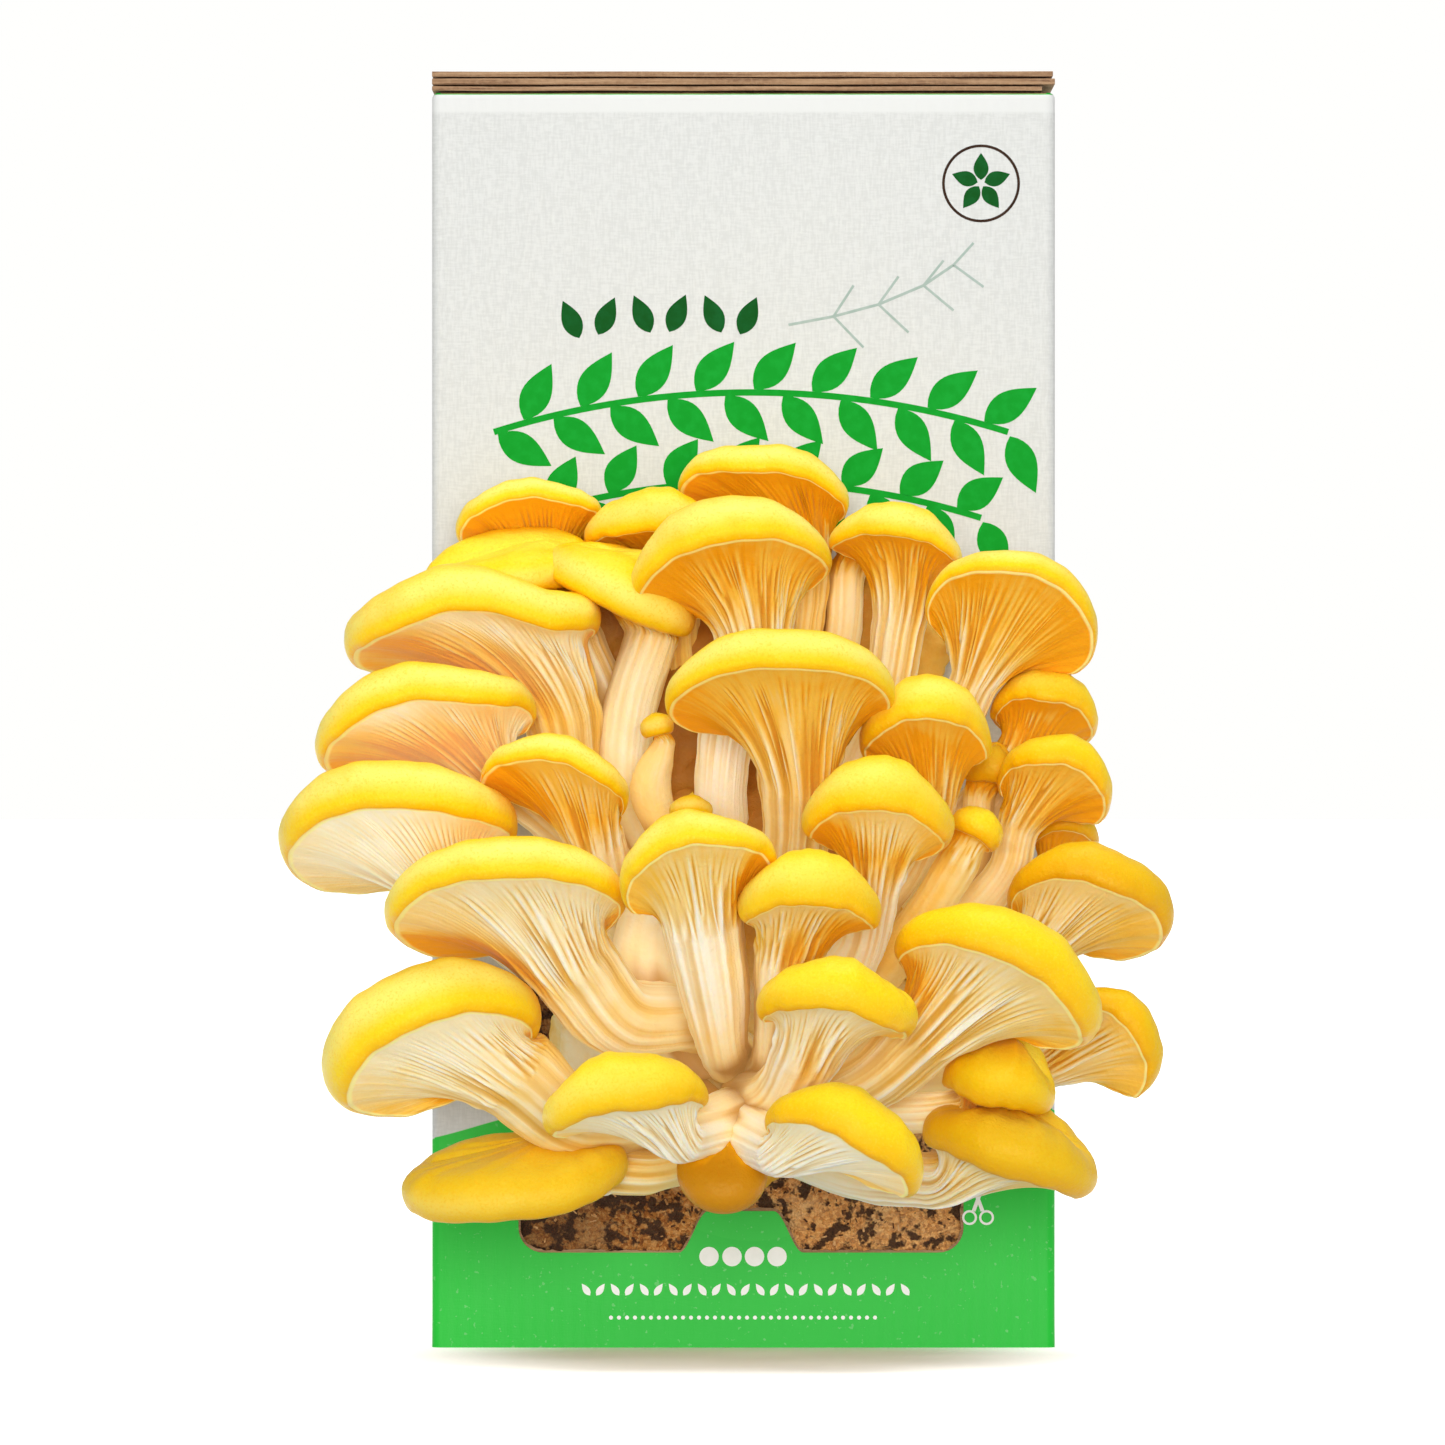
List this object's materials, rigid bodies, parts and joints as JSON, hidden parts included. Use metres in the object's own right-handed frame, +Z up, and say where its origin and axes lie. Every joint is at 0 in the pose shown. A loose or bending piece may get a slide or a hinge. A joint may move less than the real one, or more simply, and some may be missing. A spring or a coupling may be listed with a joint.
{
  "type": "oyster mushroom grow kit",
  "caption": "Glued-shut carton with an opened front window, a sawdust block inside and a cluster of golden oyster mushrooms grown out of it.",
  "frame": {"origin": "centre of the carton's bottom face, on the surface it stands on", "axes": "+Z up, -Y towards the window and the mushrooms, +X to the right as the window is looked at"},
  "size_m": [0.1745, 0.1955, 0.2552],
  "materials": {
    "printed_board": "satin",
    "kraft_board": "matte",
    "substrate": "matte",
    "mushroom_flesh": "satin",
    "golden_mushroom": "satin"
  },
  "bodies": {
    "root": {"button_long_stem": "golden_mushroom", "button_middle": "golden_mushroom", "carton_base": "printed_board", "carton_sleeve": "printed_board", "cluster_base": "mushroom_flesh", "mushroom_back_slim": "golden_mushroom", "mushroom_bottom_left": "golden_mushroom", "mushroom_bottom_right": "golden_mushroom", "mushroom_centre_left": "golden_mushroom", "mushroom_centre_right": "golden_mushroom", "mushroom_drooping_left": "golden_mushroom", "mushroom_drooping_right": "golden_mushroom", "mushroom_egg": "golden_mushroom", "mushroom_left_high": "golden_mushroom", "mushroom_left_inner": "golden_mushroom", "mushroom_left_large": "golden_mushroom", "mushroom_left_low": "golden_mushroom", "mushroom_low_centre": "golden_mushroom", "mushroom_low_left": "golden_mushroom", "mushroom_low_right_outer": "golden_mushroom", "mushroom_low_right_top": "golden_mushroom", "mushroom_middle_large": "golden_mushroom", "mushroom_right_centre": "golden_mushroom", "mushroom_right_curved": "golden_mushroom", "mushroom_right_hidden": "golden_mushroom", "mushroom_right_high": "golden_mushroom", "mushroom_right_inner": "golden_mushroom", "mushroom_right_large": "golden_mushroom", "mushroom_right_outer": "golden_mushroom", "mushroom_right_slim": "golden_mushroom", "mushroom_right_small": "golden_mushroom", "mushroom_tilted": "golden_mushroom", "mushroom_top_centre_left": "golden_mushroom", "mushroom_top_left": "golden_mushroom", "mushroom_top_middle": "golden_mushroom", "mushroom_upper_left": "golden_mushroom", "mushroom_upper_left_back": "golden_mushroom", "mushroom_upper_middle": "golden_mushroom", "mushroom_upper_right": "golden_mushroom", "mushroom_upper_right_inner": "golden_mushroom", "stem_bulb": "golden_mushroom", "substrate_block": "substrate", "top_flap_lower": "kraft_board", "top_flap_middle": "kraft_board", "top_flap_upper": "kraft_board"}
  },
  "joints": []
}
